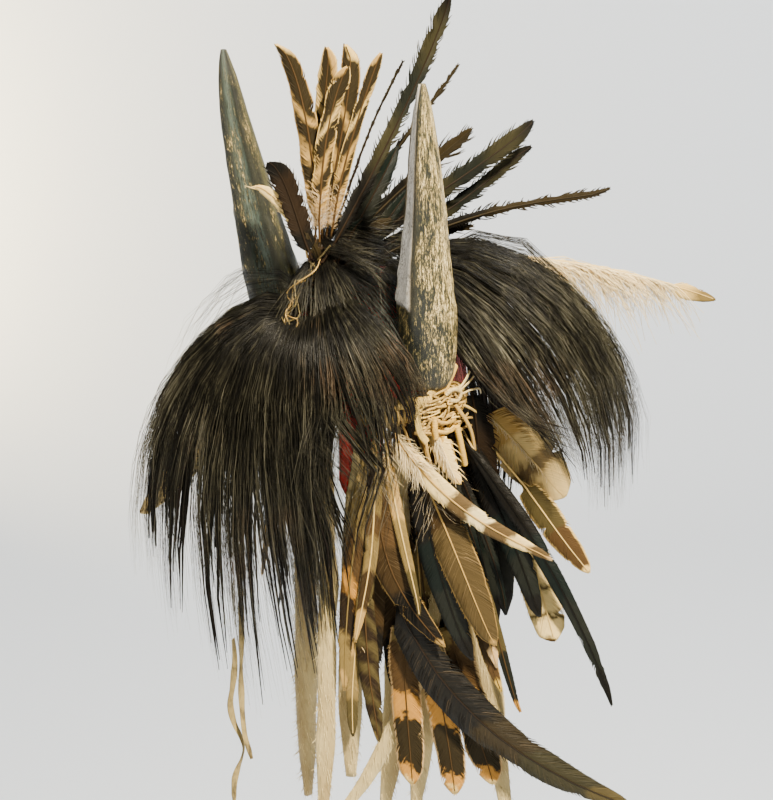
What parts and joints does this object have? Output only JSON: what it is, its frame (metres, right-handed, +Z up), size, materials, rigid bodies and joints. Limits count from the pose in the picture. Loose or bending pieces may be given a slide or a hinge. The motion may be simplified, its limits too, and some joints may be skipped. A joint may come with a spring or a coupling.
{
  "type": "horned war cap",
  "caption": "Close skull cap of red cloth with a horn at each side, long hair falling all round it, feathers tied upright at the crown and in a bundle at the side, and hanging fur strips",
  "frame": {"origin": "Middle of the cap's rim, where the head comes in, at the level of the rim. The head seat holds it up.", "axes": "+X to the wearer's left side, +Y to the back of the head, +Z up; the brow faces -Y."},
  "size_m": [0.4854, 0.4843, 0.8293],
  "materials": {
    "red_cloth": "worn red wool cloth",
    "horn": "weathered animal horn, mottled cream over olive grey, half matt",
    "dark_hair": "long near-black brown hair, slight sheen",
    "sinew": "wrapped sinew and rawhide, dry",
    "owl_feather": "cream feathers with brown bars",
    "dark_feather": "glossy black feathers with a teal sheen",
    "brown_feather": "brown and orange feathers, matt",
    "white_down": "soft ivory plumes and down",
    "cream_fur": "short cream fur on hide strips",
    "hide": "tanned hide, olive tan, matt"
  },
  "bodies": {
    "root": {"skull_cap": "red_cloth", "red_cloth_flap": "red_cloth", "horn_left": "horn", "horn_right": "horn", "hair_front": "dark_hair", "hair_back_left": "dark_hair", "hair_back_right": "dark_hair", "hair_nape": "dark_hair", "crown_tie": "sinew", "side_tie_left": "sinew", "side_tie_right": "sinew", "owl_feather_1": "owl_feather", "owl_feather_2": "owl_feather", "owl_feather_3": "owl_feather", "owl_feather_4": "owl_feather", "owl_feather_5": "owl_feather", "side_feather_barred": "owl_feather", "side_feather_patched": "owl_feather", "side_feather_tan": "owl_feather", "side_feather_low": "owl_feather", "side_feather_cream": "owl_feather", "side_feather_fan": "owl_feather", "far_feather_pale": "owl_feather", "raven_feather_long": "dark_feather", "raven_feather_teal": "dark_feather", "raven_feather_thin": "dark_feather", "raven_feather_narrow": "dark_feather", "raven_feather_frayed": "dark_feather", "raven_feather_upper": "dark_feather", "raven_feather_olive": "dark_feather", "raven_feather_twist": "dark_feather", "side_feather_black": "dark_feather", "side_feather_teal": "dark_feather", "side_feather_long": "dark_feather", "side_feather_blade": "dark_feather", "wing_feather": "dark_feather", "fan_feather_1": "dark_feather", "fan_feather_2": "dark_feather", "fan_feather_3": "dark_feather", "far_feather_long": "dark_feather", "brown_short_feather": "brown_feather", "side_feather_brown": "brown_feather", "side_feather_orange": "brown_feather", "side_feather_olive": "brown_feather", "side_feather_curl": "brown_feather", "far_feather_brown": "brown_feather", "pale_curled_feather": "white_down", "back_plume": "white_down", "side_feather_down": "white_down", "fur_strip_1": "cream_fur", "fur_strip_2": "cream_fur", "fur_strip_3": "cream_fur", "fur_strip_4": "cream_fur", "fur_strip_5": "cream_fur", "fur_strip_6": "cream_fur", "fur_strip_7": "cream_fur", "hide_tab_left": "hide", "hide_thong_short": "hide", "hide_thong_long": "hide"}
  },
  "joints": []
}
